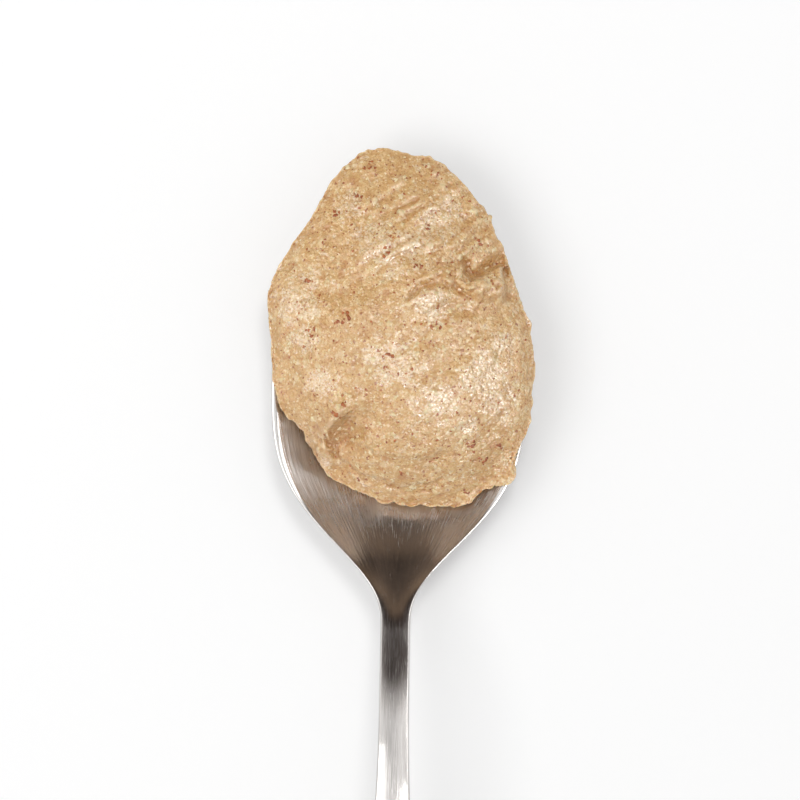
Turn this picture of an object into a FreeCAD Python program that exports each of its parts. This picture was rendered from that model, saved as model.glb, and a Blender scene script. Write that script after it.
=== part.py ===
"""A tablespoon lying bowl up, holding a heaped scoop of coarse cashew butter.

Millimetres, +Z up. The spoon lies along Y with its tip at +Y, and X is across the bowl. The origin is the
middle of the small flat spot under the bowl, where the spoon rests. The underside of the handle's end
touches the same plane.

Both pieces are made from sheets, which are heights over the plan. The spoon is its plan outline between an
upper and a lower sheet, with its lip levelled by a rim sheet. The butter is its own outline under a heaped
sheet, and it keeps only what lies above the spoon's sheets, so it fills the bowl and seats on the lip.
"""

import FreeCAD
import Part
import math
import os

# Spoon, plan view. Places along it are measured from the bowl's widest place.
SPOON_LENGTH = 205.0
BOWL_WIDTH = 44.0  # over the lip
BOWL_FRONT = 37.6  # widest place to the tip
BOWL_REAR = 44.0  # widest place to the neck
TIP_POINTING = 0.09  # how much narrower than an ellipse the bowl gets towards its tip
SHOULDER_REACH = 3.6  # how far the bowl keeps its width towards the neck
SHOULDER_FALL = 3.1  # how fast the shoulder then narrows
NECK_WIDTH = 5.2
NECK_LENGTH = 12.0  # of even width, behind the bowl
HANDLE_WIDTH = 17.0  # at its widest, near the end
HANDLE_FLARE = 2.1  # how late the handle widens
END_LENGTH = 17.0  # of the rounded end

# Spoon, side view.
BOWL_DEPTH = 9.0
BOWL_WALL = 1.8  # at the bottom of the bowl
BOWL_FULLNESS = 0.25  # 0 is a paraboloid, and more has a flatter floor and steeper sides
BOWL_FADE = 2.4  # how far the bowl keeps its depth towards the neck
RIM_LAND = 1.2  # width of the lip's level top
LIP_HEIGHT = 1.0  # of the lip's outer edge
ARCH_HEIGHT = 21.5  # of the handle's top where it is highest
ARCH_START = 20.0  # behind the widest place, where the lip starts to climb
ARCH_TOP = 76.0  # behind the widest place, where the handle is highest
END_LEVEL = 4.0  # length of the handle's end that lies level
NECK_THICKNESS = 3.2
HANDLE_THICKNESS = 2.4  # at the end
HANDLE_CROWN = 0.4  # rise of the handle's top over its edges
HANDLE_BELLY = 0.5  # drop of the handle's underside below its edges
REST_FLAT = 0.06  # depth ground off underneath, which makes the flat spots

# Butter. Places are shares of half the bowl's width and of its front length.
HEAP_HEIGHT = 10.0  # crest above the lip
HEAP_CENTRE = 2.0  # ahead of the widest place
HEAP_REAR = 23.0  # widest place to the heap's edge towards the handle
HEAP_FULLNESS = 3.2  # how far the heap keeps its height before it rolls over
HEAP_OVERHANG = 1.4  # of the outermost bulges, past the bowl's outline
EDGE_THICKNESS = 1.6  # of the heap at its edge, where it lies on the lip
EDGE_FILL = 0.45  # how far up the bowl the edge reaches where it lies inside, besides that thickness
FRONT_ROUNDNESS, REAR_ROUNDNESS = 2.05, 2.5  # of the outline: 2 is an ellipse, and more is squarer
BROAD = 12.0  # degrees: a bulge at least as wide as this shapes the whole slope and not only the edge

# Bulges (and bays, below 0) of the outline: degrees from +X, width in degrees, and reach in overhangs.
BULGES = (
    (0, 20, 1.0),
    (50, 18, -1.1),
    (88, 5, -0.6),
    (99, 13, 1.3),
    (122, 7, -0.5),
    (152, 15, 1.35),
    (222, 17, -2.7),
    (250, 13, -1.0),
    (296, 8, 1.4),
    (313, 6, 2.6),
    (334, 12, 0.8),
)

# Ridges (and furrows, below 0) of the top: start, end, height and width in millimetres.
RIDGES = (
    ((-0.68, -0.46), (-0.42, -0.16), 1.3, 1.7),  # lip folded over beside the handle
    ((-0.52, -0.52), (-0.26, -0.22), -1.9, 2.4),  # hollow behind that fold
    ((0.50, 0.34), (0.84, 0.42), 1.5, 1.5),  # torn flap
    ((0.44, 0.45), (0.78, 0.52), -1.3, 1.9),  # scar that the flap was lifted from
    ((0.08, 0.26), (0.55, 0.32), -0.9, 1.8),  # furrow round the smooth bulge
    ((-0.60, 0.14), (0.30, 0.42), 0.7, 3.5),  # broad crest left by the spoon's turn
)
SWEEP_DEPTH = 0.3  # of the knife's sweeps
SWEEP_PITCH = 6.5
SWEEP_ANGLE = 38.0  # degrees from +X

# Working sizes.
SHEET_MARGIN = 4.0
SPOON_GRID = (2.0, 2.5)
BUTTER_GRID = (1.8, 1.8)
RIM_LIFT = 1.0  # of the rim sheet over the neck, where it must not cut
CUT_DEPTH = 10.0  # below the resting plane
TALL = 60.0  # more than the whole height
OUTLINE_STEP = 3.0
BUTTER_OUTLINE_POINTS = 72

HANDLE_LENGTH = SPOON_LENGTH - BOWL_FRONT
STRAIGHT_LENGTH = HANDLE_LENGTH - END_LENGTH
RIM_HEIGHT = BOWL_WALL + BOWL_DEPTH - REST_FLAT


def smooth_step(share):
    """0 below 0 and 1 above 1, with no kink in slope or curvature between."""
    share = min(1.0, max(0.0, share))
    return share**3 * (10.0 - 15.0 * share + 6.0 * share**2)


def hump(distance, width):
    return math.exp(-((distance / width) ** 2))


def half_width(y):
    """Half the spoon's width in plan."""
    if y > 0:
        along = y / BOWL_FRONT
        return BOWL_WIDTH / 2 * math.sqrt(max(0.0, 1 - along**2)) * (1 - TIP_POINTING * along**2)
    back = -y
    neck = NECK_WIDTH / 2
    if back < BOWL_REAR:
        return neck + (BOWL_WIDTH / 2 - neck) * (1 - (back / BOWL_REAR) ** SHOULDER_REACH) ** SHOULDER_FALL
    flare_start = BOWL_REAR + NECK_LENGTH
    along = min(1.0, max(0.0, (back - flare_start) / (STRAIGHT_LENGTH - flare_start)))
    width = neck + (HANDLE_WIDTH / 2 - neck) * math.sin(along * math.pi / 2) ** HANDLE_FLARE
    past = min(1.0, max(0.0, (back - STRAIGHT_LENGTH) / END_LENGTH))
    return width * math.sqrt(1 - past**2)


def bowl_share(y):
    """How much of a bowl the spoon still is behind the widest place: 1 there, and 0 from the neck on."""
    return (1 - min(1.0, max(0.0, -y) / BOWL_REAR) ** BOWL_FADE) ** 2


def spine(y):
    """Height of the lip along the bowl, and of the top along the handle."""
    back = -y
    if back <= ARCH_TOP:
        climb = smooth_step((back - ARCH_START) / (ARCH_TOP - ARCH_START))
        return RIM_HEIGHT + (ARCH_HEIGHT - RIM_HEIGHT) * climb
    drop = min(1.0, (back - ARCH_TOP) / (HANDLE_LENGTH - END_LEVEL - ARCH_TOP))
    end = HANDLE_THICKNESS - REST_FLAT
    return end + (ARCH_HEIGHT - end) * (1 + math.cos(drop * math.pi)) / 2


def rim_height(x, y):
    """The rim sheet: the lip's level top, kept clear of the metal from the neck on."""
    return spine(y) + RIM_LIFT * smooth_step((-y - 0.7 * BOWL_REAR) / (0.3 * BOWL_REAR))


def metal_thickness(y):
    """Of the metal along the middle."""
    back = -y
    along = smooth_step((back - BOWL_REAR) / (STRAIGHT_LENGTH - BOWL_REAR))
    handle = NECK_THICKNESS + (HANDLE_THICKNESS - NECK_THICKNESS) * along
    return handle + (BOWL_WALL - handle) * smooth_step(1 - back / BOWL_REAR)


def dish(radius):
    """Rise of the bowl's section, from 0 in the middle to 1 at its edge, and straight on past that."""
    if radius > 1:
        return 1 + 2 * (1 + BOWL_FULLNESS) * (radius - 1)
    return radius**2 * (1 - BOWL_FULLNESS + BOWL_FULLNESS * radius**2)


def plan_radius(x, y, inset):
    """0 in the middle and 1 on the spoon's outline moved in by inset."""
    if y > 0:
        along = y / (BOWL_FRONT - inset)
        return math.hypot(along, x / ((BOWL_WIDTH / 2 - inset) * (1 - TIP_POINTING * along**2)))
    return abs(x) / max(half_width(y) - inset * bowl_share(y), NECK_WIDTH / 2)


def upper_height(x, y):
    """The spoon's upper sheet: the bowl's inside and the handle's top."""
    bowl = bowl_share(y)
    rise = BOWL_DEPTH * bowl - HANDLE_CROWN * (1 - bowl)
    return spine(y) - BOWL_DEPTH * bowl + rise * dish(plan_radius(x, y, RIM_LAND))


def lower_height(x, y):
    """The spoon's lower sheet: the bowl's outside and the handle's underside."""
    bowl = bowl_share(y)
    rise = (BOWL_DEPTH + BOWL_WALL - LIP_HEIGHT) * bowl + HANDLE_BELLY * (1 - bowl)
    return spine(y) - BOWL_DEPTH * bowl - metal_thickness(y) + rise * dish(plan_radius(x, y, 0.0))


def heap_reach(degrees, narrowest):
    """From the heap's centre to its edge at this angle, with the bulges at least this wide."""
    ahead = math.sin(math.radians(degrees))
    across = abs(math.cos(math.radians(degrees))) / (BOWL_WIDTH / 2)
    if ahead >= 0:
        roundness, length = FRONT_ROUNDNESS, BOWL_FRONT - HEAP_CENTRE
    else:
        roundness, length = REAR_ROUNDNESS, HEAP_REAR + HEAP_CENTRE
    reach = (across**roundness + (abs(ahead) / length) ** roundness) ** (-1 / roundness)
    for place, width, bulge in BULGES:
        apart = (degrees - place + 180) % 360 - 180
        if width >= narrowest:
            reach += HEAP_OVERHANG * bulge * hump(apart, width)
    return reach


def ridge_relief(x, y):
    """Sum of the ridges and furrows, each along its own line."""
    total = 0.0
    for start, end, height, width in RIDGES:
        ax, ay = start[0] * BOWL_WIDTH / 2, start[1] * BOWL_FRONT
        bx, by = end[0] * BOWL_WIDTH / 2, end[1] * BOWL_FRONT
        length = math.hypot(bx - ax, by - ay)
        along = ((x - ax) * (bx - ax) + (y - ay) * (by - ay)) / length
        aside = ((y - ay) * (bx - ax) - (x - ax) * (by - ay)) / length
        past = max(0.0, -along, along - length)
        total += height * hump(math.hypot(aside, past), width)
    return total


def sweep_relief(x, y):
    """Shallow parallel sweeps of the knife, on the upper right."""
    angle = math.radians(SWEEP_ANGLE)
    across = y * math.cos(angle) - x * math.sin(angle)
    place = hump(math.hypot(2 * x / BOWL_WIDTH - 0.3, y / BOWL_FRONT - 0.5), 0.6)
    return SWEEP_DEPTH * place * math.cos(2 * math.pi * across / SWEEP_PITCH)


def heap_height(x, y):
    """The butter's top sheet."""
    ahead = y - HEAP_CENTRE
    radius = math.hypot(x, ahead) / heap_reach(math.degrees(math.atan2(ahead, x)), BROAD)
    lip, bed = spine(y), min(spine(y), upper_height(x, y))
    edge = bed + EDGE_FILL * (lip - bed) + EDGE_THICKNESS
    crest = RIM_HEIGHT + HEAP_HEIGHT
    if radius < 1:
        slope = 1 - radius**HEAP_FULLNESS
    else:
        slope = HEAP_FULLNESS * (1 - radius) / 3
    relief = ridge_relief(x, y) + sweep_relief(x, y)
    return edge + (crest - edge) * slope + relief * smooth_step((1.15 - radius) / 0.3)


def sheet(height, x_range, y_range, grid):
    """A smooth surface through height(x, y), on an even grid about as fine as asked."""
    columns = round((x_range[1] - x_range[0]) / grid[0])
    rows = round((y_range[1] - y_range[0]) / grid[1])
    x_step = (x_range[1] - x_range[0]) / columns
    y_step = (y_range[1] - y_range[0]) / rows
    heights = [
        [height(x_range[0] + i * x_step, y_range[0] + j * y_step) for j in range(rows + 1)]
        for i in range(columns + 1)
    ]
    surface = Part.BSplineSurface()
    surface.interpolate(heights, x_range[0], x_step, y_range[0], y_step)
    return surface.toShape()


def block(points):
    """A tall block with the closed smooth outline through these plan points."""
    curve = Part.BSplineCurve()
    curve.interpolate([FreeCAD.Vector(x, y, -CUT_DEPTH) for x, y in points], PeriodicFlag=True)
    return Part.Face(Part.Wire(curve.toShape())).extrude(FreeCAD.Vector(0, 0, TALL + CUT_DEPTH))


def spoon_outline():
    """Plan points round the spoon, closer together round its tip and end."""
    ahead = [BOWL_FRONT * math.cos(math.radians(angle)) for angle in range(5, 90, 5)]
    steps = round(STRAIGHT_LENGTH / OUTLINE_STEP)
    behind = [-STRAIGHT_LENGTH * k / steps for k in range(steps + 1)]
    end = [-STRAIGHT_LENGTH - END_LENGTH * math.sin(math.radians(angle)) for angle in range(12, 90, 12)]
    right = [(half_width(y), y) for y in ahead + behind + end]
    left = [(-x, y) for x, y in reversed(right)]
    return [(0.0, BOWL_FRONT)] + right + [(0.0, -HANDLE_LENGTH)] + left


def butter_outline():
    """Plan points round the butter."""
    points = []
    for k in range(BUTTER_OUTLINE_POINTS):
        degrees = 360 * k / BUTTER_OUTLINE_POINTS
        reach = heap_reach(degrees, 0)
        angle = math.radians(degrees)
        points.append((reach * math.cos(angle), HEAP_CENTRE + reach * math.sin(angle)))
    return points


def main():
    os.makedirs("parts", exist_ok=True)
    up = FreeCAD.Vector(0, 0, TALL)
    half = BOWL_WIDTH / 2 + SHEET_MARGIN
    across, along = (-half, half), (-HANDLE_LENGTH - SHEET_MARGIN, BOWL_FRONT + SHEET_MARGIN)
    above_upper = sheet(upper_height, across, along, SPOON_GRID).extrude(up)
    above_rim = sheet(rim_height, across, along, SPOON_GRID).extrude(up)
    below_lower = sheet(lower_height, across, along, SPOON_GRID).extrude(-up)
    corner = FreeCAD.Vector(across[0], along[0], -CUT_DEPTH)
    below_rest = Part.makeBox(across[1] - across[0], along[1] - along[0], CUT_DEPTH, corner)
    spoon = block(spoon_outline()).cut([above_rim, above_upper, below_lower, below_rest])

    heap_along = (-HEAP_REAR - SHEET_MARGIN, BOWL_FRONT + SHEET_MARGIN)
    above_heap = sheet(heap_height, across, heap_along, BUTTER_GRID).extrude(up)
    open_space = above_upper.fuse(above_rim)
    butter = block(butter_outline()).cut(above_heap).common(open_space)

    for name, shape in (("spoon", spoon), ("cashew_butter", butter)):
        shape.exportStep(f"parts/{name}.step")
        print(f"{name}: {len(shape.Solids)} solid, valid {shape.isValid()}, {shape.Volume / 1000:.2f} cm3")
    print(f"shared by both: {spoon.common(butter).Volume:.4f} mm3")


main()
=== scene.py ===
"""A tablespoon lying bowl up, heaped with coarse cashew butter, seen from straight above.

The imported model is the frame. The spoon is drawn again from the CAD model's sizes, with a rolled lip and
rounded edges. The butter starts from its CAD solid, and gets its sweeps, torn flap, fold, crumbly edge and
grain as real shape. X runs across the spoon and Y towards the bowl's tip. Sizes are in millimetres until a mesh
is made.
"""

import math

import bpy
import numpy as np
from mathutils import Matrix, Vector
from mathutils.bvhtree import BVHTree


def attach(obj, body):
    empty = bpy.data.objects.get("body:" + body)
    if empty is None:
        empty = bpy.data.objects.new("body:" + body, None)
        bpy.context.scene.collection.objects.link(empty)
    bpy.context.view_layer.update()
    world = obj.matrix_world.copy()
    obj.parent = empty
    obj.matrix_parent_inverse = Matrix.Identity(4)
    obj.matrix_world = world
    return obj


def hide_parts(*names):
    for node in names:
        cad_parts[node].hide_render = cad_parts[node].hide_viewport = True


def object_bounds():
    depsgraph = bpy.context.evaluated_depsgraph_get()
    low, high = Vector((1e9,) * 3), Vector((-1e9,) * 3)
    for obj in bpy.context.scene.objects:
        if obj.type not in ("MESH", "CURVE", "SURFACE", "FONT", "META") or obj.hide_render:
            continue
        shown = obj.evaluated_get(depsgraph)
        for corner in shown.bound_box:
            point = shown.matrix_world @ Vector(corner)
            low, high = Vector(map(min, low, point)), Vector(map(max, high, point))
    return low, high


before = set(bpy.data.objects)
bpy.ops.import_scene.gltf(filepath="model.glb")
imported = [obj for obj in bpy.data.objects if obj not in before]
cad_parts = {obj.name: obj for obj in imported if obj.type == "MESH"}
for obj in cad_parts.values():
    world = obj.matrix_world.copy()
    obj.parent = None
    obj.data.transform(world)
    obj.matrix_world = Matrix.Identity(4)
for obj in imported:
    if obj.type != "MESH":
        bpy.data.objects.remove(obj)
cad_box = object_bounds()

MM = 0.001

# ---------------------------------------------------------------- the spoon's sizes, as in the CAD model

SPOON_LENGTH = 205.0
BOWL_WIDTH = 44.0
BOWL_FRONT = 37.6
BOWL_REAR = 44.0
TIP_POINTING = 0.09
SHOULDER_REACH = 3.6
SHOULDER_FALL = 3.1
NECK_WIDTH = 5.2
NECK_LENGTH = 12.0
HANDLE_WIDTH = 17.0
HANDLE_FLARE = 2.1
END_LENGTH = 17.0
BOWL_DEPTH = 9.0
BOWL_WALL = 1.8
BOWL_FULLNESS = 0.25
BOWL_FADE = 2.4
RIM_LAND = 1.2
LIP_HEIGHT = 1.0
ARCH_HEIGHT = 21.5
ARCH_START = 20.0
ARCH_TOP = 76.0
END_LEVEL = 4.0
NECK_THICKNESS = 3.2
HANDLE_THICKNESS = 2.4
HANDLE_CROWN = 0.4
HANDLE_BELLY = 0.5
REST_FLAT = 0.06
REAR_RISE = 1.0  # how much higher the rim stands where the bowl runs out into the neck
REAR_RISE_START = 0.7  # share of the bowl's rear length at which that begins

HANDLE_LENGTH = SPOON_LENGTH - BOWL_FRONT
STRAIGHT_LENGTH = HANDLE_LENGTH - END_LENGTH
RIM_HEIGHT = BOWL_WALL + BOWL_DEPTH - REST_FLAT

# ---------------------------------------------------------------- the spoon's mesh and its brush map

EDGE_ROUND = 0.35  # of the spoon's edges
LIP_BLEND = 0.4  # softness of the lip's inner corner
WELD_DISTANCE = 0.002
TIP_STEPS = 80  # rings of the mesh in the bowl's front, its rear, the handle and the handle's end
REAR_STEPS = 90
HANDLE_STEPS = 120
END_STEPS = 40
ACROSS_STEPS = 60  # faces across the upper side

BRUSH_UNIT = 100.0  # millimetres to one unit of the brush map
BRUSH_HANDLE_REACH = 6.0  # the map's half width on the handle and on the bowl, and where it changes
BRUSH_BOWL_REACH = 22.0
BRUSH_CHANGE = (-60.0, -20.0)
BRUSH_UNDERSIDE = 50.0  # how far the underside lies from the upper side in the map

# ---------------------------------------------------------------- the butter's big shapes

COARSE_VOXEL = 0.3  # mesh for the big shapes
FINE_VOXEL = 0.2  # and for the grain
HIDDEN_DEPTH = 0.06  # a face is hidden if it lies no higher than this over the steel and looks down like this
HIDDEN_TILT = -0.3
HIDDEN_KEPT = 0.1  # share of the hidden faces that stay

WOBBLE_SIZE = 4.0  # of the noise that bends all the lines, and of the finer one that frays them
FRAY_SIZE = 1.6

SWEEP_ANGLE = 36.0  # knife sweeps on the upper right, in degrees from X
SWEEP_SPACING = 2.3
SWEEP_HEIGHT = 0.62
SWEEP_CENTRE = (5.0, 23.5)
SWEEP_REACH = (12.5, 11.5)
SWEEP_WOBBLE = 0.7
CREST_STRETCH = 3.0  # how much longer than wide the breaks in the crests are
CREST_SIZE = 1.3

FLAP_HEIGHT = 1.7
FLAP_FRAY = 0.3
FLAP_UNEVEN = 0.4
FLAP_NEAR_WIDTH = 2.8
FLAP_FAR_WIDTH = 0.4
VALLEY_DEPTH = 1.0  # of the valley beyond the flap
VALLEY_WIDTH = 0.9
VALLEY_DISTANCE = 1.0
TORN_FLAP = (
    (9.3, 19.6), (10.9, 16.7), (12.2, 15.6), (13.9, 16.3), (15.7, 17.4), (16.9, 18.1), (17.0, 16.2),
    (17.5, 13.8), (17.2, 10.6),
)

GROOVE_DEPTH = 1.1
GROOVE_WIDTH = 0.7
GROOVE_FRAY = 0.25
ARCH_GROOVE = (
    (0.6, 11.4), (1.8, 13.2), (3.6, 14.5), (5.9, 15.1), (7.6, 15.1), (9.3, 14.4), (11.4, 13.1),
    (13.6, 12.7),
)
BULGE_HEIGHT = 0.55
BULGE_CENTRE = (5.0, 11.2)
BULGE_REACH = (3.8, 3.0)

FOLD_HEIGHT = 1.1
FOLD_INNER_WIDTH = 1.1
FOLD_OUTER_WIDTH = 2.0
FOLD_FRAY = 0.2
HOLLOW_DEPTH = 2.5  # of the hollow on the fold's inner side
HOLLOW_START = 2.6
HOLLOW_WIDTH = 3.0
FOLD_CREST = (
    (-8.3, -5.3), (-10.7, -7.1), (-12.8, -9.8), (-13.5, -11.8), (-12.6, -14.0), (-10.6, -16.6),
)

LEDGE_CENTRE = (2.0, 2.0)
LEDGE_SQUASH = 0.92  # of their circles along Y
LEDGES = ((15.4, 0.5), (18.9, 0.65))  # distance from that centre, and depth
LEDGE_FACE = 0.6  # width of a ledge's steep side, and of the slope that comes back up behind it
LEDGE_TREAD = 0.5  # from a ledge's start to that slope
LEDGE_SLOPE = 2.4
LEDGE_WOBBLE = 0.6
LEDGE_FRAY = 0.45
LEDGES_BELOW = (-8.5, -12.5)  # Y where they begin and are full, and the same in X
LEDGES_LEFT_OF = (12.2, 4.2)

UNEVEN_SIZE = 9.0
UNEVEN_HEIGHT = 0.45
WOBBLE_HEIGHT = 0.24
SETTLE = 0.5  # the whole top is let down by this, which keeps the crests inside the CAD solid's height

RAGGED_SIZE = 3.4  # of the edge's tongues, and of the crumbs on them
RAGGED_DEPTH = 0.55
CRUMBLED_SIZE = 1.5
CRUMBLED_DEPTH = 0.38
EDGE_PULL = 0.15
UNDERCUT_DEPTH = 0.9  # how far the edge's foot is drawn in at the bowl's rear, and up to what height
UNDERCUT_HEIGHT = 1.1
UNDERCUT_BELOW = (-4.0, -10.0)  # Y where that begins and is full
LEFT_CALM = 0.7  # how much less ragged the left edge is, and where that begins and is full in X and Y
CALM_LEFT_OF = (-6.0, -14.0)
CALM_ABOVE = (-3.0, 3.0)
WALL_TILT = (0.75, 0.35)  # slope of the normal at which the edge's wall begins and is full
TOP_TILT = (0.1, 0.6)  # and the same for the top that is lifted

# Places at the edge where the heap reaches out to the rim: centre, reach, distance and direction.
OUTREACHES = (
    ((19.6, -14.0), (3.6, 4.4), 1.0, (0.82, -0.57)),
    ((17.2, 20.4), (3.0, 5.5), 0.65, (0.85, 0.5)),
)

# ---------------------------------------------------------------- the butter's grain

PASTE_SIZE = 2.1
PASTE_HEIGHT = 0.11
SAND_SIZE = 0.8
SAND_HEIGHT = 0.015
SAND_EXTRA = 0.035  # what roughness adds to it
LUMP_SIZE = 1.5
LUMP_HEIGHT = 0.14
LUMP_SHARE = 0.3
LUMP_BEND = 0.25
CRUMB_SIZE = 0.8
CRUMB_HEIGHT = 0.055
CRUMB_DIP = 0.015
CRUMB_SHARE = 0.5
PIT_SIZE = 2.6
PIT_DEPTH = 0.2
PIT_SHARE = 0.25

# Where the surface is roughest: centre, reach and strength.
ROUGH_PLACES = (
    ((10, -1), (11, 8), 1.0),
    ((3, 22), (11, 9), 1.0),
    ((-18, 9), (5, 8), 0.7),
)
ROUGH_DRIFT = 0.25
ROUGH_DRIFT_SIZE = 5.0
GRAIN_START = (0.1, 0.6)  # height over the steel where the grain begins and is full

# ---------------------------------------------------------------- flecks and bits

HEAP_CENTRE_Y = 8.0
HEAP_HALF_WIDTH = 23.4
HEAP_HALF_LENGTH = 31.0
PLACE_LOW = (-23, -23)
PLACE_HIGH = (23.5, 38.5)
EDGE_MARGIN = 0.5
LEAST_HEIGHT = 0.3  # over the steel, for a place to count as butter

LOOSE_FLECKS = 520
NUT_BITS = 240
FLECK_STRETCH = (1.15, 0.9, 0.35)
BIT_STRETCH = (1.15, 0.9, 0.6)
FLECK_SINK = 0.14  # how deep a pebble sits, as a share of its size
BIT_SINK = 0.46
BLOB_LUMPS = 0.22
BLOB_KINDS = 12
BLOB_SEED = 300
BLOB_RINGS = 5
BLOB_SEGMENTS = 8

# Places where several skin flecks lie together: x, y and how far they spread.
FLECK_CLUSTERS = (
    (-15.8, 15.4, 0.5), (-9.2, 9.9, 0.6), (-9.9, 8.3, 0.5), (6.2, 8.1, 0.6), (12.9, -12.6, 0.7),
    (5.4, -15.0, 0.4), (11.6, -20.4, 0.4), (-9.3, -5.6, 0.3), (-5.2, 35.2, 0.7), (-7.6, 30.0, 0.4),
    (-11.4, 26.9, 0.5), (-1.9, 20.8, 0.6), (-2.0, 2.9, 0.4), (17.6, -12.4, 0.4), (14.8, -14.9, 0.4),
    (-15.2, 6.5, 0.5), (13.8, 22.2, 0.5), (4.6, 24.8, 0.4), (2.9, 18.2, 0.4), (-10.6, -7.4, 0.4),
)

random = np.random.default_rng(7)


# ---------------------------------------------------------------- the spoon


def smooth_step(share):
    share = np.clip(share, 0.0, 1.0)
    return share**3 * (10.0 - 15.0 * share + 6.0 * share**2)


def rise(value, start, end):
    """0 up to the start and 1 from the end on, smooth between. The end may be the lower one."""
    return smooth_step((value - start) / (end - start))


def half_width(y):
    back = np.maximum(-y, 0.0)
    along = np.clip(y / BOWL_FRONT, 0.0, 1.0)
    front = BOWL_WIDTH / 2 * np.sqrt(1 - along**2) * (1 - TIP_POINTING * along**2)
    neck = NECK_WIDTH / 2
    shoulder = 1 - np.clip(back / BOWL_REAR, 0, 1) ** SHOULDER_REACH
    rear = neck + (BOWL_WIDTH / 2 - neck) * shoulder**SHOULDER_FALL
    flare_start = BOWL_REAR + NECK_LENGTH
    flare = np.clip((back - flare_start) / (STRAIGHT_LENGTH - flare_start), 0, 1)
    handle = neck + (HANDLE_WIDTH / 2 - neck) * np.sin(flare * np.pi / 2) ** HANDLE_FLARE
    handle = handle * np.sqrt(1 - np.clip((back - STRAIGHT_LENGTH) / END_LENGTH, 0, 1) ** 2)
    return np.where(y > 0, front, np.where(back < BOWL_REAR, rear, handle))


def bowl_share(y):
    """1 in the bowl, falling to 0 where the handle begins."""
    return (1 - np.clip(-y / BOWL_REAR, 0.0, 1.0) ** BOWL_FADE) ** 2


def spine(y):
    """Height of the rim's line along the spoon, without the rise at the bowl's rear."""
    back = -y
    climb = rise(back, ARCH_START, ARCH_TOP)
    rising = RIM_HEIGHT + (ARCH_HEIGHT - RIM_HEIGHT) * climb
    drop = np.clip((back - ARCH_TOP) / (HANDLE_LENGTH - END_LEVEL - ARCH_TOP), 0.0, 1.0)
    end = HANDLE_THICKNESS - REST_FLAT
    falling = end + (ARCH_HEIGHT - end) * (1 + np.cos(drop * np.pi)) / 2
    return np.where(back <= ARCH_TOP, rising, falling)


def rim_height(y):
    return spine(y) + REAR_RISE * rise(-y, REAR_RISE_START * BOWL_REAR, BOWL_REAR)


def metal_thickness(y):
    back = -y
    along = rise(back, BOWL_REAR, STRAIGHT_LENGTH)
    handle = NECK_THICKNESS + (HANDLE_THICKNESS - NECK_THICKNESS) * along
    return handle + (BOWL_WALL - handle) * rise(back, BOWL_REAR, 0.0)


def dish(radius):
    """The bowl's section: 0 at its middle and 1 at the rim, straight on beyond it."""
    curved = radius**2 * (1 - BOWL_FULLNESS + BOWL_FULLNESS * radius**2)
    return np.where(radius > 1, 1 + 2 * (1 + BOWL_FULLNESS) * (radius - 1), curved)


def plan_radius(x, y, inset):
    """0 on the spoon's middle line and 1 on its outline drawn in by the inset."""
    along = np.clip(y, 0.0, None) / (BOWL_FRONT - inset)
    taper = np.maximum(1 - TIP_POINTING * along**2, 0.5)
    front = np.hypot(along, x / ((BOWL_WIDTH / 2 - inset) * taper))
    rear = np.abs(x) / np.maximum(half_width(np.minimum(y, 0.0)) - inset * bowl_share(y), NECK_WIDTH / 2)
    return np.where(y > 0, front, rear)


def upper_height(x, y):
    bowl = bowl_share(y)
    climb = BOWL_DEPTH * bowl - HANDLE_CROWN * (1 - bowl)
    return spine(y) - BOWL_DEPTH * bowl + climb * dish(plan_radius(x, y, RIM_LAND))


def lower_height(x, y):
    bowl = bowl_share(y)
    climb = (BOWL_DEPTH + BOWL_WALL - LIP_HEIGHT) * bowl + HANDLE_BELLY * (1 - bowl)
    return spine(y) - BOWL_DEPTH * bowl - metal_thickness(y) + climb * dish(plan_radius(x, y, 0.0))


def spoon_stations():
    """Places along the spoon, from the tip to the handle's end, close together where the outline turns."""
    front = BOWL_FRONT * np.sin(np.linspace(np.pi / 2, 0, TIP_STEPS))
    rear = np.linspace(0, -BOWL_REAR, REAR_STEPS)[1:]
    handle = np.linspace(-BOWL_REAR, -STRAIGHT_LENGTH, HANDLE_STEPS)[1:]
    end = -STRAIGHT_LENGTH - END_LENGTH * np.sin(np.linspace(0, np.pi / 2, END_STEPS))[1:]
    return np.concatenate([front, rear, handle, end])


def make_mesh(name, points, faces):
    mesh = bpy.data.meshes.new(name)
    mesh.from_pydata([tuple(p) for p in points * MM], [], faces)
    mesh.validate()
    mesh.update()
    made = bpy.data.objects.new(name, mesh)
    bpy.context.scene.collection.objects.link(made)
    mesh.shade_smooth()
    return made


def close_ring(upper, lower):
    """One ring from the two sides' rows, without their shared ends twice."""
    return np.concatenate([upper, lower[:, ::-1][:, 1:-1]], 1)


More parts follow.
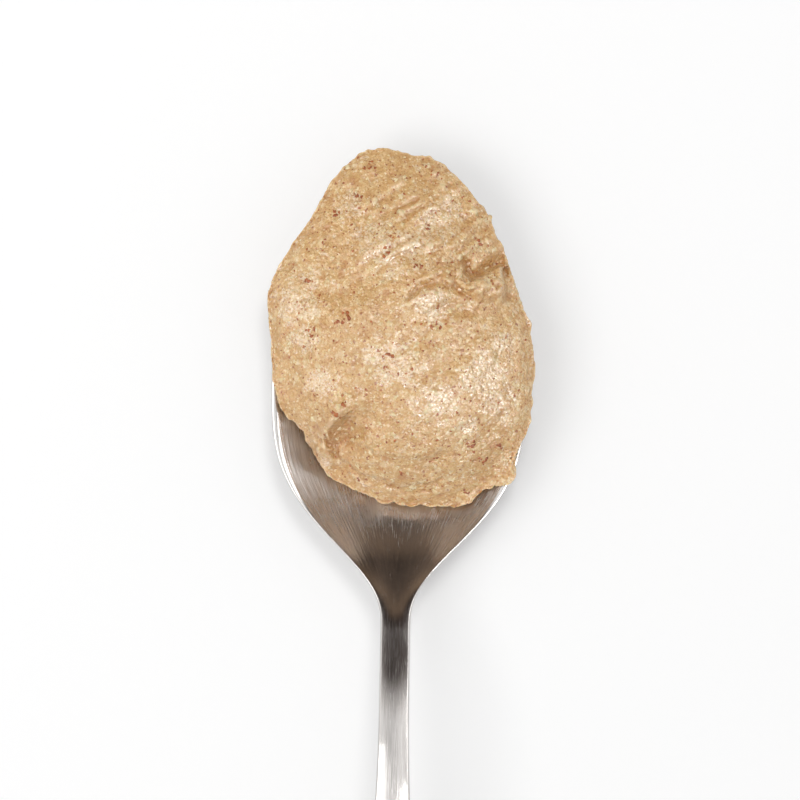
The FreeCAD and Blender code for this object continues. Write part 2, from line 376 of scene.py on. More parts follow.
def make_spoon():
    """Rings round the metal, one per station, joined by quads."""
    stations = spoon_stations()
    across = np.sin(np.linspace(-np.pi / 2, np.pi / 2, ACROSS_STEPS + 1))
    y = stations[:, None] + 0 * across[None, :]
    w = half_width(stations)[:, None]
    x = across[None, :] * w
    top = upper_height(x, y)
    top = -LIP_BLEND * np.logaddexp(-top / LIP_BLEND, -rim_height(y) / LIP_BLEND)
    bottom = np.minimum(np.maximum(lower_height(x, y), 0.0), top)
    past = np.clip((np.abs(x) - (w - EDGE_ROUND)) / np.minimum(EDGE_ROUND, np.maximum(w, 1e-6)), 0, 1)
    middle = (top + bottom) / 2
    half = (top - bottom) / 2 * np.sqrt(1 - past**2)
    rings = close_ring(np.stack([x, y, middle + half], -1), np.stack([x, y, middle - half], -1))
    count = rings.shape[1]
    faces = []
    for i in range(len(stations) - 1):
        a, b = i * count, (i + 1) * count
        for j in range(count):
            k = (j + 1) % count
            faces.append((a + j, a + k, b + k, b + j))
    spoon = make_mesh("spoon_metal", rings.reshape(-1, 3), faces)
    add_brush_map(spoon, across, stations)
    clean = spoon.modifiers.new("weld", "WELD")
    clean.merge_threshold = WELD_DISTANCE * MM
    apply_modifiers(spoon)
    return spoon


def add_brush_map(spoon, across, stations):
    """A map with its first coordinate across the spoon and its second along it, for streaks along the rim."""
    change = rise(stations, *BRUSH_CHANGE)
    reach = BRUSH_HANDLE_REACH + (BRUSH_BOWL_REACH - BRUSH_HANDLE_REACH) * change
    top_u = across[None, :] * reach[:, None]
    u = close_ring(top_u, top_u + BRUSH_UNDERSIDE)
    v = stations[:, None] + 0 * u
    values = np.stack([u, v], -1).reshape(-1, 2) / BRUSH_UNIT
    mesh = spoon.data
    corners = np.zeros(len(mesh.loops), dtype=np.int32)
    mesh.loops.foreach_get("vertex_index", corners)
    layer = mesh.uv_layers.new(name="brush")
    layer.uv.foreach_set("vector", values[corners].astype(np.float32).ravel())


def apply_modifiers(item):
    graph = bpy.context.evaluated_depsgraph_get()
    mesh = bpy.data.meshes.new_from_object(item.evaluated_get(graph), depsgraph=graph)
    item.modifiers.clear()
    item.data = mesh


# ---------------------------------------------------------------- noise and distance


def lattice_noise(points, size, seed):
    """Smooth noise from about -1 to 1 with features of about this size."""
    cells, shift, gain = 48, 1000.5, 1.6
    values = np.random.default_rng(seed).random((cells, cells, cells)) * 2 - 1
    scaled = points / size + shift
    base = np.floor(scaled).astype(int)
    share = smooth_step(scaled - base)
    total = np.zeros(len(points))
    for corner in range(8):
        bits = np.array([corner & 1, corner >> 1 & 1, corner >> 2 & 1])
        weight = np.prod(np.where(bits, share, 1 - share), axis=1)
        cell = (base + bits) % cells
        total += weight * values[cell[:, 0], cell[:, 1], cell[:, 2]]
    return total * gain


def layered_noise(points, size, seed, layers=3):
    """Layers of noise, each half as large and half as strong as the one before."""
    gain = 1.6
    total, strength = 0.0, 1.0
    for k in range(layers):
        total = total + strength * lattice_noise(points, size / 2**k, seed + k)
        strength *= 0.5
    return total / gain


def cell_distance(points, size, seed):
    """Distance, in cells, to the nearest of one random point per cell, and that point's own random number."""
    cells, shift = 32, 1000.0
    source = np.random.default_rng(seed)
    offsets = source.random((cells, cells, cells, 3))
    marks = source.random((cells, cells, cells))
    scaled = points / size + shift
    base = np.floor(scaled).astype(int)
    nearest = np.full(len(points), np.inf)
    mark = np.zeros(len(points))
    for step in np.ndindex(3, 3, 3):
        cell = base + np.array(step) - 1
        wrapped = cell % cells
        place = cell + offsets[wrapped[:, 0], wrapped[:, 1], wrapped[:, 2]]
        distance = np.linalg.norm(scaled - place, axis=1)
        closer = distance < nearest
        nearest = np.where(closer, distance, nearest)
        mark = np.where(closer, marks[wrapped[:, 0], wrapped[:, 1], wrapped[:, 2]], mark)
    return nearest, mark


def to_polyline(x, y, points):
    """Signed distance (over 0 on the left) to this line of plan points, how far along it, and its length."""
    best = np.full(len(x), np.inf)
    signed = np.zeros(len(x))
    along = np.zeros(len(x))
    passed = 0.0
    for (ax, ay), (bx, by) in zip(points[:-1], points[1:]):
        length = math.hypot(bx - ax, by - ay)
        ux, uy = (bx - ax) / length, (by - ay) / length
        t = np.clip((x - ax) * ux + (y - ay) * uy, 0, length)
        distance = np.hypot(x - ax - t * ux, y - ay - t * uy)
        closer = distance < best
        side = np.sign((y - ay) * ux - (x - ax) * uy)
        best = np.where(closer, distance, best)
        signed = np.where(closer, distance * side, signed)
        along = np.where(closer, passed + t, along)
        passed += length
    return signed, along, passed


def hump(distance, width):
    return np.exp(-((distance / width) ** 2))


def spot(x, y, centre, reach):
    """1 at this place in plan, fading outwards over these reaches along X and Y."""
    return hump(np.hypot((x - centre[0]) / reach[0], (y - centre[1]) / reach[1]), 1.0)


def fade_ends(run, length, start, end):
    """0 at both ends of a line and 1 between, with these distances to rise and to fall in."""
    return rise(run, 0.0, start) * rise(length - run, 0.0, end)


# ---------------------------------------------------------------- the butter


def read_points(item):
    points = np.zeros(len(item.data.vertices) * 3)
    item.data.vertices.foreach_get("co", points)
    return points.reshape(-1, 3) / MM


def read_normals(item):
    normals = np.zeros(len(item.data.vertices) * 3)
    item.data.vertices.foreach_get("normal", normals)
    return normals.reshape(-1, 3)


def write_points(item, points):
    item.data.vertices.foreach_set("co", (points * MM).ravel())
    item.data.update()


def remesh(item, voxel):
    bpy.context.view_layer.objects.active = item
    item.select_set(True)
    change = item.modifiers.new("even", "REMESH")
    change.mode = "VOXEL"
    change.voxel_size = voxel * MM
    change.use_smooth_shade = True
    apply_modifiers(item)


def steel_height(x, y):
    """Height of the steel under the butter, or of the rim beyond it."""
    return np.minimum(upper_height(x, y), rim_height(y))


def sweeps(x, y, wobble):
    """Slanting ridges with broken crests."""
    angle = math.radians(SWEEP_ANGLE)
    across = -x * math.sin(angle) + y * math.cos(angle) + SWEEP_WOBBLE * wobble
    along = x * math.cos(angle) + y * math.sin(angle)
    phase = across / SWEEP_SPACING
    part = phase % 1.0
    ridge = rise(part, 0.0, 0.5) - rise(part, 0.5, 1.0)
    crests = np.stack([along / CREST_STRETCH, np.floor(phase), 0 * x], -1)
    breaks = smooth_step(0.5 + 0.8 * lattice_noise(crests, CREST_SIZE, seed=31))
    return SWEEP_HEIGHT * ridge * spot(x, y, SWEEP_CENTRE, SWEEP_REACH) * breaks


def torn_flap(x, y, fray):
    """A ragged crest, steep on its far side, with a valley beyond."""
    side, run, length = to_polyline(x + FLAP_FRAY * fray, y + FLAP_FRAY * fray, TORN_FLAP)
    ends = fade_ends(run, length, 2.5, 3.0)
    body = np.where(side < 0, hump(side, FLAP_NEAR_WIDTH), hump(side, FLAP_FAR_WIDTH))
    crest = FLAP_HEIGHT * body * ends * (1 + FLAP_UNEVEN * fray)
    return crest - VALLEY_DEPTH * hump(side - VALLEY_DISTANCE, VALLEY_WIDTH) * ends


def groove_and_bulge(x, y, fray):
    """A groove that arches over a smooth bulge."""
    side, run, length = to_polyline(x + GROOVE_FRAY * fray, y + GROOVE_FRAY * fray, ARCH_GROOVE)
    groove = GROOVE_DEPTH * hump(side, GROOVE_WIDTH) * fade_ends(run, length, 3.0, 2.0)
    return BULGE_HEIGHT * spot(x, y, BULGE_CENTRE, BULGE_REACH) - groove


def fold(x, y, fray):
    """A thin crest, and the hollow that it hides on its inner side."""
    side, run, length = to_polyline(x + FOLD_FRAY * fray, y + FOLD_FRAY * fray, FOLD_CREST)
    ends = fade_ends(run, length, 3.0, 4.0)
    crest = np.where(side > 0, hump(side, FOLD_INNER_WIDTH), hump(side, FOLD_OUTER_WIDTH))
    hollow = rise(side, 0.0, HOLLOW_START) * hump(np.maximum(side - HOLLOW_START, 0), HOLLOW_WIDTH)
    return (FOLD_HEIGHT * crest - HOLLOW_DEPTH * hollow) * ends


def ledges(x, y, wobble, fray):
    """Steps down along the lower edge, one behind the other."""
    reach = np.hypot(x - LEDGE_CENTRE[0], (y - LEDGE_CENTRE[1]) * LEDGE_SQUASH)
    reach += LEDGE_WOBBLE * wobble + LEDGE_FRAY * fray
    low = rise(y, *LEDGES_BELOW) * rise(x, *LEDGES_LEFT_OF)
    lift = np.zeros(len(x))
    for start, depth in LEDGES:
        past = reach - start
        step = rise(past, 0.0, LEDGE_FACE) - rise(past, LEDGE_TREAD, LEDGE_TREAD + LEDGE_SLOPE)
        lift -= depth * step * low
    return lift


def edge_shift(points, normals):
    """How far the edge's wall moves in plan: ragged, and drawn in at its foot, so that it leans out."""
    x, y, z = points.T
    flat = np.stack([x, y, 0 * x], -1)
    wall = rise(np.abs(normals[:, 2]), *WALL_TILT)
    outward = normals[:, :2] / np.maximum(np.linalg.norm(normals[:, :2], axis=1), 0.2)[:, None]
    ragged = RAGGED_DEPTH * layered_noise(flat, RAGGED_SIZE, seed=51, layers=2)
    ragged += CRUMBLED_DEPTH * layered_noise(flat + 7, CRUMBLED_SIZE, seed=61, layers=2) - EDGE_PULL
    ragged *= 1 - LEFT_CALM * rise(x, *CALM_LEFT_OF) * rise(y, *CALM_ABOVE)
    undercut = rise(z - steel_height(x, y), UNDERCUT_HEIGHT, 0.0) * rise(y, *UNDERCUT_BELOW)
    return outward * ((ragged - UNDERCUT_DEPTH * undercut) * wall)[:, None]


def rough_shape(points, normals):
    """The heap's big shapes. They lift what faces up, and push the edge's wall in plan."""
    x, y, _ = points.T
    up = rise(normals[:, 2], *TOP_TILT)
    wobble = layered_noise(points, WOBBLE_SIZE, seed=11)
    fray = layered_noise(points, FRAY_SIZE, seed=21)
    lift = sweeps(x, y, wobble) + torn_flap(x, y, fray) + groove_and_bulge(x, y, fray)
    lift += fold(x, y, fray) + ledges(x, y, wobble, fray)
    lift += UNEVEN_HEIGHT * layered_noise(points, UNEVEN_SIZE, seed=41, layers=2)
    lift += WOBBLE_HEIGHT * wobble - SETTLE

    moved = points.copy()
    moved[:, 2] += lift * up
    moved[:, :2] += edge_shift(points, normals)
    for centre, reach, distance, direction in OUTREACHES:
        moved[:, :2] += (distance * spot(x, y, centre, reach))[:, None] * np.array(direction)
    return moved


def knob(distance, top, fall):
    """1 round a cell's point and 0 away from it; it falls from this far over 1 at this rate."""
    return smooth_step(top - fall * distance)


def roughness_share(points):
    """How rough the surface is, from 0 to 1."""
    x, y, _ = points.T
    total = ROUGH_DRIFT * lattice_noise(points, ROUGH_DRIFT_SIZE, seed=121)
    for centre, reach, strength in ROUGH_PLACES:
        total += strength * spot(x, y, centre, reach)
    return np.clip(total, 0, 1)


def fine_shape(points, normals):
    """Grain: uneven paste, sand, chopped nut, crumbs and pits."""
    x, y, _ = points.T
    shown = rise(points[:, 2] - steel_height(x, y), *GRAIN_START)
    rough = roughness_share(points)
    grain = PASTE_HEIGHT * layered_noise(points, PASTE_SIZE, seed=71, layers=2)
    grain += (SAND_HEIGHT + SAND_EXTRA * rough) * layered_noise(points, SAND_SIZE, seed=81, layers=2)
    bent = points + LUMP_BEND * lattice_noise(points, 1.0, seed=5)[:, None]
    distance, mark = cell_distance(bent, LUMP_SIZE, seed=91)
    lump = np.where(mark < LUMP_SHARE, LUMP_HEIGHT, 0.0)
    grain += lump * knob(distance, top=1.25, fall=2.1) * (0.5 + mark)
    distance, mark = cell_distance(points, CRUMB_SIZE, seed=101)
    crumb = np.where(mark < CRUMB_SHARE, CRUMB_HEIGHT, -CRUMB_DIP)
    grain += crumb * knob(distance, top=1.3, fall=2.2) * (0.25 + rough)
    distance, mark = cell_distance(points, PIT_SIZE, seed=111)
    grain -= np.where(mark < PIT_SHARE, PIT_DEPTH, 0.0) * knob(distance, top=1.1, fall=3.6)
    return points + normals * (grain * shown)[:, None]


def thin_hidden(item, hidden, ratio):
    """Fewer faces where nothing is seen."""
    group = item.vertex_groups.new(name="hidden")
    group.add([int(i) for i in np.nonzero(hidden)[0]], 1.0, "REPLACE")
    change = item.modifiers.new("thin", "DECIMATE")
    change.ratio = ratio
    change.vertex_group = "hidden"
    change.vertex_group_factor = 10.0
    apply_modifiers(item)
    item.vertex_groups.clear()


def make_butter():
    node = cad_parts["cashew_butter"]
    mesh = node.data.copy()
    mesh.materials.clear()
    butter = bpy.data.objects.new("butter", mesh)
    bpy.context.scene.collection.objects.link(butter)
    remesh(butter, COARSE_VOXEL)
    write_points(butter, rough_shape(read_points(butter), read_normals(butter)))
    remesh(butter, FINE_VOXEL)
    low, high = (np.array(corner) / MM for corner in cad_box)
    points = np.clip(fine_shape(read_points(butter), read_normals(butter)), low, high)
    write_points(butter, points)
    on_steel = points[:, 2] < steel_height(points[:, 0], points[:, 1]) + HIDDEN_DEPTH
    hidden = on_steel & (read_normals(butter)[:, 2] < HIDDEN_TILT)
    thin_hidden(butter, hidden, 1 - (1 - HIDDEN_KEPT) * hidden.mean())
    butter.data.shade_smooth()
    return butter


# ---------------------------------------------------------------- flecks and bits


def blob(stretch, seed):
    """A small lumpy pebble of about unit radius."""
    source = np.random.default_rng(seed)
    points = [(0.0, 0.0, 1.0)]
    faces = []
    for i in range(1, BLOB_RINGS):
        for j in range(BLOB_SEGMENTS):
            a, b = math.pi * i / BLOB_RINGS, 2 * math.pi * j / BLOB_SEGMENTS
            points.append((math.sin(a) * math.cos(b), math.sin(a) * math.sin(b), math.cos(a)))
    points.append((0.0, 0.0, -1.0))
    last = len(points) - 1
    for j in range(BLOB_SEGMENTS):
        k = (j + 1) % BLOB_SEGMENTS
        faces.append((0, 1 + j, 1 + k))
        faces.append((last, last - BLOB_SEGMENTS + k, last - BLOB_SEGMENTS + j))
        for i in range(BLOB_RINGS - 2):
            a, b = 1 + i * BLOB_SEGMENTS, 1 + (i + 1) * BLOB_SEGMENTS
            faces.append((a + j, b + j, b + k, a + k))
    points = np.array(points)
    points *= 1 + BLOB_LUMPS * source.standard_normal((len(points), 1))
    return points * stretch, faces


def scatter(name, tree, places, sizes, stretch, sink):
    """One mesh of many pebbles, each laid on the butter at its place and sunk into it."""
    all_points = []
    all_faces = []
    total = 0
    shapes = [blob(np.array(stretch), BLOB_SEED + k) for k in range(BLOB_KINDS)]
    for index, ((x, y), size) in enumerate(zip(places, sizes)):
        hit, normal, _, _ = tree.ray_cast(Vector((x * MM, y * MM, 1)), Vector((0, 0, -1)))
        if hit is None or hit.z / MM < steel_height(np.array([x]), np.array([y]))[0] + LEAST_HEIGHT:
            continue
        points, faces = shapes[index % BLOB_KINDS]
        normal = np.array(normal)
        turn = random.random() * 2 * math.pi
        side = np.cross(normal, (math.cos(turn), math.sin(turn), 0.1))
        side /= np.linalg.norm(side)
        axes = np.stack([side, np.cross(normal, side), normal])
        placed = (points * size) @ axes + np.array(hit) / MM - normal * size * sink
        all_points.append(placed)
        all_faces.extend(tuple(i + total for i in face) for face in faces)
        total += len(points)
    return make_mesh(name, np.concatenate(all_points), all_faces)


def random_places(count):
    """Places spread over the heap in plan."""
    places = []
    while len(places) < count:
        x = random.uniform(PLACE_LOW[0], PLACE_HIGH[0])
        y = random.uniform(PLACE_LOW[1], PLACE_HIGH[1])
        across = x / (HEAP_HALF_WIDTH - EDGE_MARGIN)
        along = (y - HEAP_CENTRE_Y) / (HEAP_HALF_LENGTH - EDGE_MARGIN)
        if np.hypot(across, along) < 1:
            places.append((x, y))
    return places


def cluster_places():
    """Three to five flecks round each of the clusters' places."""
    places = []
    for x, y, spread in FLECK_CLUSTERS:
        for _ in range(random.integers(3, 6)):
            places.append((x + spread * random.standard_normal(), y + spread * random.standard_normal()))
    return places


# ---------------------------------------------------------------- materials


class Nodes:
    """A short way to build a node tree."""

    def __init__(self, tree):
        self.tree = tree
        tree.nodes.clear()

    def add(self, kind, values=None, **settings):
        node = self.tree.nodes.new(kind)
        for key, value in settings.items():
            setattr(node, key, value)
        for key, value in (values or {}).items():
            if isinstance(value, bpy.types.NodeSocket):
                self.tree.links.new(value, node.inputs[key])
            else:
                node.inputs[key].default_value = value
        return node

    def math(self, operation, a, b=0.0):
        return self.add("ShaderNodeMath", {0: a, 1: b}, operation=operation).outputs[0]

    def ramp(self, value, stops):
        """A colour ramp: each stop is its place and its colour."""
        node = self.add("ShaderNodeValToRGB", {0: value})
        elements = node.color_ramp.elements
        while len(elements) < len(stops):
            elements.new(0.5)
        for element, (place, colour) in zip(elements, stops):
            element.position = place
            element.color = (*colour, 1)
        return node.outputs[0]

    def mix(self, share, a, b, blend="MIX"):
        node = self.add("ShaderNodeMix", data_type="RGBA", blend_type=blend)
        for socket, value in ((node.inputs[0], share), (node.inputs[6], a), (node.inputs[7], b)):
            if isinstance(value, bpy.types.NodeSocket):
                self.tree.links.new(value, socket)
            else:
                socket.default_value = (*value, 1) if isinstance(value, tuple) else value
        return node.outputs[2]

    def near(self, vector, x, y, radius):
        """1 well inside this circle in plan, falling to 0 well outside it; all in millimetres."""
        flat = self.add("ShaderNodeVectorMath", {0: vector, 1: (1, 1, 0)}, operation="MULTIPLY").outputs[0]
        centre = (x * MM, y * MM, 0)
        distance = self.add("ShaderNodeVectorMath", {0: flat, 1: centre}, operation="DISTANCE")
        return self.between(distance.outputs["Value"], 1.5 * radius * MM, 0.4 * radius * MM)

    def between(self, value, low, high, to_low=0.0, to_high=1.0):
        """The value, with its range from low to high stretched to another, and held at its ends."""
        node = self.add("ShaderNodeMapRange", {0: value, 1: low, 2: high, 3: to_low, 4: to_high})
        return node.outputs[0]


def srgb(r, g, b):
    """A colour as written from 0 to 255, in the linear units of shaders."""
    return tuple((c / 255 / 12.92) if c <= 10 else ((c / 255 + 0.055) / 1.055) ** 2.4 for c in (r, g, b))


def new_material(name):
    material = bpy.data.materials.new(name)
    material.use_nodes = True
    return material, Nodes(material.node_tree)


# The paste's colours, from its darkest to its palest parts, and the one of its broad dull areas.
PASTE_STOPS = (
    (0.39, srgb(186, 128, 68)), (0.465, srgb(212, 166, 107)), (0.545, srgb(220, 179, 121)),
    (0.61, srgb(244, 219, 171)),
)
DULL_PASTE = srgb(206, 160, 102)
# Painted highlight: pale glints in the oily film.
PAINTED_GLINT_COLOUR = srgb(248, 228, 196)
# Painted shade in the hollow behind the fold.
HOLLOW_SHADE_COLOUR = srgb(186, 136, 84)
# Painted highlight on crests, and painted shade in pits.
CREST_HIGHLIGHT_COLOUR = srgb(244, 220, 178)
PIT_SHADE_COLOUR = srgb(176, 120, 64)
# Painted shade for the paste as the steel mirrors it.
MIRRORED_SHADE_COLOUR = srgb(104, 60, 30)

# Pale nut bits under the surface, and brown skin specks, each in cells of one size: which of the cell's
# random numbers picks them, cell size, share of the cells without one, its radius in the cell, colour, strength.
SPECK_LAYERS = (
    (0, 1.9, 0.74, 0.40, srgb(238, 214, 170), 0.55),
    (0, 1.1, 0.62, 0.38, srgb(236, 210, 164), 0.55),
    (0, 0.6, 0.60, 0.38, srgb(246, 228, 190), 0.7),
    (1, 2.8, 0.62, 0.30, srgb(196, 138, 84), 0.6),
    (1, 1.5, 0.62, 0.21, srgb(162, 84, 34), 0.85),
    (1, 0.9, 0.70, 0.24, srgb(172, 96, 44), 0.8),
    (2, 0.5, 0.78, 0.36, srgb(184, 122, 70), 0.6),
)
SPECK_BEND = 0.9  # how far noise bends the cells

# Places where the oily film lies: x, y and radius.
FILM_PATCHES = (
    (-8.6, 27.9, 2.5), (-4.3, 22.1, 3.8), (2.3, 21.3, 3.3), (6.0, 25.9, 3.3), (8.1, 28.4, 2.1),
    (-17.9, 11.3, 3.5), (-16.4, 5.4, 2.1), (5.0, 11.7, 2.9), (-0.7, 1.7, 4.4), (6.1, -5.0, 3.5),
    (14.8, 0.0, 4.0), (16.1, -4.6, 3.1), (-13.1, -2.1, 2.5), (-15.5, 15.4, 1.7), (17.6, 5.4, 1.9),
    (-0.9, 17.5, 2.1), (12.0, -9.2, 1.7),
)
# Where the shade in the hollow behind the fold is painted, and how far it reaches.
HOLLOW_PLACE = (-11.3, -11.3)
HOLLOW_RADIUS = 3.4

BEAD_SIZE = 0.55  # of the beads in the paste's and the film's bump
BODY_RELIEF = 0.15
FILM_RELIEF = 0.18


def butter_material():
    material, nodes = new_material("nut_paste")
    place = nodes.add("ShaderNodeTexCoord").outputs["Object"]

    def noise(size_mm, detail=3.0, rough=0.55, out=0):
        """Noise with features of this size; output 0 is its value and 1 its colour."""
        values = {"Vector": place, "Scale": 1 / (size_mm * MM), "Detail": detail, "Roughness": rough}
        return nodes.add("ShaderNodeTexNoise", values).outputs[out]

    mottle = nodes.mix(0.58, noise(1.8, detail=4.0, rough=0.7), noise(0.3, rough=0.75))
    colour = nodes.ramp(mottle, PASTE_STOPS)
    dull = nodes.between(noise(9.0, detail=2.0), 0.4, 0.65, to_high=0.35)
    colour = nodes.mix(dull, colour, DULL_PASTE)

    bent = nodes.mix(SPECK_BEND * MM, place, noise(0.6, rough=0.6, out=1), "ADD")
    for channel, size, bare, radius, tint, strength in SPECK_LAYERS:
        cells = nodes.add("ShaderNodeTexVoronoi", {"Vector": bent, "Scale": 1 / (size * MM)})
        marks = nodes.add("ShaderNodeSeparateColor", {0: cells.outputs[1]})
        chosen = nodes.math("GREATER_THAN", marks.outputs[channel], bare)
        inside = nodes.between(cells.outputs[0], radius, radius * 0.65)
        share = nodes.math("MULTIPLY", nodes.math("MULTIPLY", chosen, inside), strength)
        colour = nodes.mix(share, colour, tint)

    # An oily film lies in patches with ragged edges. In it, fine pale specks are painted highlights.
    film = 0.0
    for x, y, radius in FILM_PATCHES:
        film = nodes.math("MAXIMUM", nodes.near(place, x, y, radius), film)
    film = nodes.math("ADD", film, nodes.between(noise(1.7, detail=4.0, rough=0.65), 0.3, 0.7, -0.75, 0.75))
    film = nodes.between(film, 0.36, 0.62)
    painted_glints = nodes.math("MULTIPLY", nodes.between(noise(0.42, detail=2.0, rough=0.6), 0.47, 0.54), 0.5)
    colour = nodes.mix(nodes.math("MULTIPLY", film, painted_glints), colour, PAINTED_GLINT_COLOUR)

    # Painted shade: the hollow behind the fold is painted a darker brown.
    hollow_shade_share = nodes.math("MULTIPLY", nodes.near(place, *HOLLOW_PLACE, HOLLOW_RADIUS), 0.45)
    colour = nodes.mix(hollow_shade_share, colour, HOLLOW_SHADE_COLOUR)

    # Painted light: crests are painted paler as a highlight, and pits darker as shade.
    bend = nodes.add("ShaderNodeNewGeometry").outputs["Pointiness"]
    colour = nodes.mix(nodes.between(bend, 0.502, 0.525, to_high=0.4), colour, CREST_HIGHLIGHT_COLOUR)
    colour = nodes.mix(nodes.between(bend, 0.498, 0.475, to_high=0.45), colour, PIT_SHADE_COLOUR)

    # Painted shade: to gloss rays the paste is painted darker, so that the steel mirrors it like a shaded side.
    mirrored = nodes.math("MULTIPLY", nodes.add("ShaderNodeLightPath").outputs["Is Glossy Ray"], 0.42)
    colour = nodes.mix(mirrored, colour, MIRRORED_SHADE_COLOUR)

    # A soft body under the film, whose gloss shows the beads.
    cells = {"Vector": bent, "Scale": 1 / (BEAD_SIZE * MM)}
    beads = nodes.add("ShaderNodeTexVoronoi", cells, feature="SMOOTH_F1")
    height = nodes.math("SUBTRACT", noise(BEAD_SIZE, detail=1.0, rough=0.4), beads.outputs[0])
    body_bump = nodes.add("ShaderNodeBump", {"Strength": 1.0, "Distance": BODY_RELIEF * MM, "Height": height})
    film_bump = nodes.add("ShaderNodeBump", {"Strength": 1.0, "Distance": FILM_RELIEF * MM, "Height": height})
    shader = nodes.add(
        "ShaderNodeBsdfPrincipled",
        {
            "Base Color": colour,
            "Roughness": 0.42,
            "IOR": 1.47,
            "Subsurface Weight": 0.35,
            "Subsurface Radius": (1.0, 0.55, 0.25),
            "Subsurface Scale": 0.9 * MM,
            "Coat Weight": nodes.between(film, 0.0, 1.0, 0.3, 1.0),
            "Coat Roughness": 0.13,
            "Coat IOR": 1.65,
            "Normal": body_bump.outputs[0],
            "Coat Normal": film_bump.outputs[0],
        },
    )
    nodes.add("ShaderNodeOutputMaterial", {0: shader.outputs[0]})
    return material


def pebble_material(name, dark, pale, roughness):
    """For skin flecks and nut bits: two tones, and a finely uneven surface."""
    material, nodes = new_material(name)
    place = nodes.add("ShaderNodeTexCoord").outputs["Object"]
    noise = nodes.add("ShaderNodeTexNoise", {"Vector": place, "Scale": 1 / (0.8 * MM), "Detail": 4.0})
    colour = nodes.ramp(noise.outputs[0], ((0.36, dark), (0.64, pale)))
    fine = nodes.add("ShaderNodeTexNoise", {"Vector": place, "Scale": 1 / (0.25 * MM), "Detail": 2.0})
    bump = nodes.add("ShaderNodeBump", {"Strength": 0.4, "Distance": 0.06 * MM, "Height": fine.outputs[0]})
    shader = nodes.add(
        "ShaderNodeBsdfPrincipled",
        {
            "Base Color": colour,
            "Roughness": roughness,
            "Normal": bump.outputs[0],
            "Subsurface Weight": 0.2,
            "Subsurface Radius": (1.0, 0.5, 0.25),
            "Subsurface Scale": 0.4 * MM,
        },
    )
    nodes.add("ShaderNodeOutputMaterial", {0: shader.outputs[0]})
    return material


# The bowl's inside is brushed along the rim. The rim, the neck and the handle are polished. These are places
# in the brush map, in millimetres: where the rim's polish ends across, and where the brushing begins along.
RIM_POLISH = (20.8, 20.0)
BRUSHED_FROM = (-33.0, -22.0)
DARK_STEEL = srgb(188, 184, 181)
PALE_STEEL = srgb(208, 204, 201)
STREAK_RELIEF = 0.12


def metal_material():
    material, nodes = new_material("stainless_steel")
    brush = nodes.add("ShaderNodeUVMap", uv_map="brush").outputs[0]
    place = nodes.add("ShaderNodeTexCoord").outputs["Object"]

    def streaks(across, along, turn=0.0):
        """Noise in streaks, by their width and length in millimetres."""
        scale = (BRUSH_UNIT / across, BRUSH_UNIT / along, 1)
        values = {"Vector": brush, "Rotation": (0, 0, turn), "Scale": scale}
        vector = nodes.add("ShaderNodeMapping", values).outputs[0]
        return nodes.add("ShaderNodeTexNoise", {"Vector": vector, "Scale": 1.0, "Detail": 3.0}).outputs[0]

    def map_place(value, ends):
        """0 at the first of these places in the brush map, and 1 at the second."""
        return nodes.between(value, ends[0] / BRUSH_UNIT, ends[1] / BRUSH_UNIT)

    fine = streaks(0.14, 6.0)
    wide = streaks(0.42, 9.0, 0.03)
    slanted = streaks(0.2, 5.0, 0.5)
    crossed = streaks(0.22, 4.0, -0.75)
    blotch = nodes.add("ShaderNodeTexNoise", {"Vector": place, "Scale": 1 / (6.0 * MM), "Detail": 3.0})
    scratch = nodes.math("ADD", nodes.between(slanted, 0.62, 0.72), nodes.between(crossed, 0.64, 0.74))

    sides = nodes.add("ShaderNodeSeparateXYZ", {0: brush})
    off_rim = map_place(nodes.math("ABSOLUTE", sides.outputs[0]), RIM_POLISH)
    in_bowl = nodes.math("MULTIPLY", off_rim, map_place(sides.outputs[1], BRUSHED_FROM))
    wear = nodes.math("ADD", nodes.math("MULTIPLY", fine, 0.14), nodes.math("MULTIPLY", scratch, 0.10))
    roughness = nodes.math("ADD", nodes.between(blotch.outputs[0], 0.35, 0.65, 0.05, 0.12), wear)
    roughness = nodes.math("ADD", roughness, nodes.math("MULTIPLY", in_bowl, 0.15))
    colour = nodes.mix(nodes.between(fine, 0.35, 0.65), DARK_STEEL, PALE_STEEL)
    height = nodes.math("ADD", nodes.math("MULTIPLY", fine, 0.35), nodes.math("MULTIPLY", scratch, -0.2))
    height = nodes.math("ADD", height, nodes.math("MULTIPLY", wide, 0.55))
    height = nodes.math("MULTIPLY", height, nodes.between(in_bowl, 0.0, 1.0, 0.15, 1.0))
    bump = nodes.add("ShaderNodeBump", {"Strength": 1.0, "Distance": STREAK_RELIEF * MM, "Height": height})
    tangent = nodes.add("ShaderNodeTangent", direction_type="UV_MAP", uv_map="brush").outputs[0]
    shader = nodes.add(
        "ShaderNodeBsdfPrincipled",
        {
            "Base Color": colour,
            "Metallic": 1.0,
            "Roughness": roughness,
            "Anisotropic": 0.85,
            "Tangent": tangent,
            "Normal": bump.outputs[0],
        },
    )
    nodes.add("ShaderNodeOutputMaterial", {0: shader.outputs[0]})
    return material


# ---------------------------------------------------------------- pieces

spoon = make_spoon()
spoon.data.materials.append(metal_material())
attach(spoon, "root")
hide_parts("spoon")

butter = make_butter()
butter.data.materials.append(butter_material())
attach(butter, "root")
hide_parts("cashew_butter")

